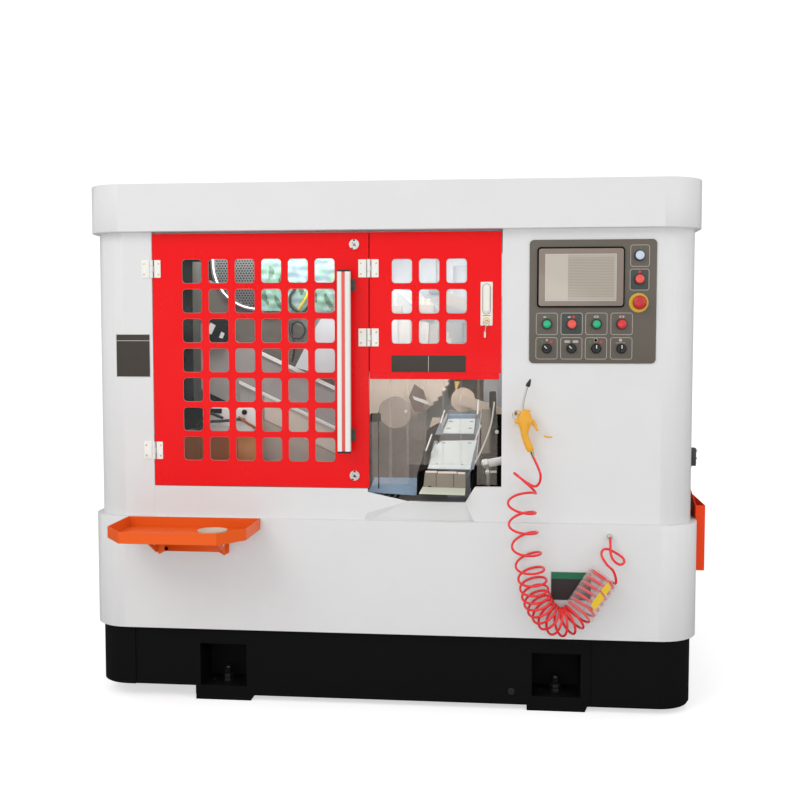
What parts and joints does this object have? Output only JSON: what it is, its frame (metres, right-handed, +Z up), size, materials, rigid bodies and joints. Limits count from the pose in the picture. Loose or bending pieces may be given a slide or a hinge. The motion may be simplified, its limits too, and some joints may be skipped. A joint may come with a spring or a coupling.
{
  "type": "enclosed circular sawing machine",
  "caption": "Enclosed automatic circular sawing machine for bar stock, with hinged guard doors, operator panel, saw head on an inclined feed, vice and discharge chute.",
  "frame": {"origin": "middle of the overall footprint on the floor, free hose left out", "axes": "+X to the right as the operator faces the doors, +Y from the doors to the back, +Z up"},
  "size_m": [2.02, 1.765, 1.69],
  "materials": {
    "white_paint": "satin powder coat, faint orange peel",
    "black_paint": "satin black paint",
    "red_paint": "satin red powder coat",
    "orange_paint": "semi-gloss orange powder coat",
    "grey_paint": "grey machine paint",
    "dark_paint": "dark grey machine paint",
    "motor_blue": "blue-grey machine paint",
    "pale_sheet": "pale grey-green sheet lining",
    "steel": "brushed",
    "stainless": "bright brushed sheet",
    "zinc": "bright zinc plate",
    "brass": "turned brass",
    "panel_taupe": "dark taupe overlay film",
    "handle_cream": "cream coated bar with a red stripe",
    "clear_sheet": "clear polycarbonate with green edges",
    "clear_pvc": "clear soft PVC strip",
    "black_plastic": "moulded black plastic",
    "white_lens": "lit white lens",
    "green_lens": "green lens",
    "red_lens": "red lens",
    "gun_yellow": "yellow-orange enamel",
    "hose_red": "red polyurethane hose",
    "oil_tank": "amber oil behind a tank wall",
    "sump_steel": "oiled sheet"
  },
  "bodies": {
    "cabinet": {"base_frame": "black_paint", "base_end_covers": "black_paint", "levelling_feet": "black_paint", "skirt_shell": "white_paint", "sump_floor": "sump_steel", "front_left_panel": "white_paint", "front_right_panel": "white_paint", "sill_panel": "white_paint", "left_side_panel": "white_paint", "right_side_panel": "white_paint", "rear_panel": "white_paint", "header_lid": "white_paint", "inner_wall": "pale_sheet", "hinge_leaves_fixed": "zinc", "operator_panel": "panel_taupe", "touch_screen": "panel_taupe", "tool_tray": "orange_paint", "tray_bracket": "orange_paint", "side_pocket": "orange_paint", "air_fittings": "brass", "air_gun": "gun_yellow", "air_hose": "hose_red", "air_hose_coil": "hose_red", "machine_bed": "grey_paint", "way_covers": "grey_paint", "vice_frame": "grey_paint", "chute": "stainless", "oil_unit": "oil_tank"},
    "main_door": {"main_door": "red_paint", "main_door_glazing": "clear_sheet", "door_handle": "handle_cream", "hinge_leaves_door": "zinc"},
    "upper_lock": {"upper_lock": "zinc"},
    "lower_lock": {"lower_lock": "zinc"},
    "small_door": {"small_door": "red_paint", "small_door_glazing": "clear_sheet", "small_door_hardware": "zinc", "curtain_rail": "red_paint"},
    "latch_lever": {"latch_lever": "zinc"},
    "strip_curtain": {"strip_curtain": "clear_pvc"},
    "saw_head": {"saw_head": "grey_paint", "drive_motor": "motor_blue", "motor_cowl": "dark_paint", "blade_guard": "pale_sheet"},
    "saw_blade": {"saw_blade": "steel"},
    "white_button": {"white_button": "white_lens"},
    "stop_button": {"stop_button": "red_lens"},
    "estop_head": {"estop_head": "red_lens"},
    "row_button_1": {"row_button_1": "green_lens"},
    "row_button_2": {"row_button_2": "red_lens"},
    "row_button_3": {"row_button_3": "green_lens"},
    "row_button_4": {"row_button_4": "red_lens"},
    "selector_1": {"selector_1": "black_plastic"},
    "selector_2": {"selector_2": "black_plastic"},
    "selector_3": {"selector_3": "black_plastic"},
    "selector_4": {"selector_4": "black_plastic"},
    "gun_trigger": {"gun_trigger": "gun_yellow"},
    "vice_jaw": {"vice_jaw": "steel"},
    "length_stop": {"length_stop": "steel"},
    "chute_flap": {"chute_flap": "stainless"}
  },
  "joints": [
    {"name": "main_door_swing", "type": "hinge", "parent": "cabinet", "child": "main_door", "pos_m": [-0.781, -0.5855, 1.1], "axis": [0, 0, -1], "range_deg": [0, 110]},
    {"name": "small_door_swing", "type": "hinge", "parent": "main_door", "child": "small_door", "pos_m": [-0.07, -0.5855, 1.3], "axis": [0, 0, -1], "range_deg": [0, 110]},
    {"name": "strip_curtain_swing", "type": "hinge", "parent": "small_door", "child": "strip_curtain", "pos_m": [0.135, -0.5695, 1.072], "axis": [1, 0, 0], "range_deg": [-30, 0]},
    {"name": "upper_lock_turn", "type": "hinge", "parent": "main_door", "child": "upper_lock", "pos_m": [-0.1174, -0.5775, 1.4937], "axis": [0, 1, 0], "range_deg": [0, 90]},
    {"name": "lower_lock_turn", "type": "hinge", "parent": "main_door", "child": "lower_lock", "pos_m": [-0.1174, -0.5775, 0.7535], "axis": [0, -1, 0], "range_deg": [0, 90]},
    {"name": "latch_lever_turn", "type": "hinge", "parent": "small_door", "child": "latch_lever", "pos_m": [0.304, -0.5775, 1.354], "axis": [0, 1, 0], "range_deg": [0, 90]},
    {"name": "white_button_press", "type": "slide", "parent": "cabinet", "child": "white_button", "axis": [0, 1, 0], "range_m": [0, 0.004], "stiffness_N_per_m": 400},
    {"name": "stop_button_press", "type": "slide", "parent": "cabinet", "child": "stop_button", "axis": [0, 1, 0], "range_m": [0, 0.004], "stiffness_N_per_m": 400},
    {"name": "row_button_1_press", "type": "slide", "parent": "cabinet", "child": "row_button_1", "axis": [0, 1, 0], "range_m": [0, 0.004], "stiffness_N_per_m": 400},
    {"name": "row_button_2_press", "type": "slide", "parent": "cabinet", "child": "row_button_2", "axis": [0, 1, 0], "range_m": [0, 0.004], "stiffness_N_per_m": 400},
    {"name": "row_button_3_press", "type": "slide", "parent": "cabinet", "child": "row_button_3", "axis": [0, 1, 0], "range_m": [0, 0.004], "stiffness_N_per_m": 400},
    {"name": "row_button_4_press", "type": "slide", "parent": "cabinet", "child": "row_button_4", "axis": [0, 1, 0], "range_m": [0, 0.004], "stiffness_N_per_m": 400},
    {"name": "estop_head_press", "type": "slide", "parent": "cabinet", "child": "estop_head", "axis": [0, 1, 0], "range_m": [0, 0.005]},
    {"name": "selector_1_turn", "type": "hinge", "parent": "cabinet", "child": "selector_1", "pos_m": [0.493, -0.5775, 1.1635], "axis": [0, 1, 0], "range_deg": [0, 90]},
    {"name": "selector_2_turn", "type": "hinge", "parent": "cabinet", "child": "selector_2", "pos_m": [0.57, -0.5775, 1.1635], "axis": [0, 1, 0], "range_deg": [0, 90]},
    {"name": "selector_3_turn", "type": "hinge", "parent": "cabinet", "child": "selector_3", "pos_m": [0.6464, -0.5775, 1.1635], "axis": [0, 1, 0], "range_deg": [-45, 45]},
    {"name": "selector_4_turn", "type": "hinge", "parent": "cabinet", "child": "selector_4", "pos_m": [0.7242, -0.5775, 1.1635], "axis": [0, 1, 0], "range_deg": [-45, 45]},
    {"name": "gun_trigger_squeeze", "type": "hinge", "parent": "cabinet", "child": "gun_trigger", "pos_m": [0.4425, -0.6195, 0.929], "axis": [0, 1, 0], "range_deg": [0, 15], "stiffness_Nm_per_rad": 0.5},
    {"name": "saw_feed", "type": "slide", "parent": "cabinet", "child": "saw_head", "axis": [0.866, 0, -0.5], "range_m": [0, 0.16]},
    {"name": "blade_spin", "type": "hinge", "parent": "saw_head", "child": "saw_blade", "pos_m": [-0.0525, -0.0775, 1.121], "axis": [0, 1, 0], "continuous": true},
    {"name": "vice_jaw_clamp", "type": "slide", "parent": "cabinet", "child": "vice_jaw", "axis": [0, 0, -1], "range_m": [0, 0.065]},
    {"name": "length_stop_slide", "type": "slide", "parent": "cabinet", "child": "length_stop", "axis": [0, -1, 0], "range_m": [0, 0.03]},
    {"name": "chute_flap_swing", "type": "hinge", "parent": "cabinet", "child": "chute_flap", "pos_m": [0.19, -0.5805, 0.772], "axis": [-1, 0, 0], "range_deg": [0, 60]}
  ]
}
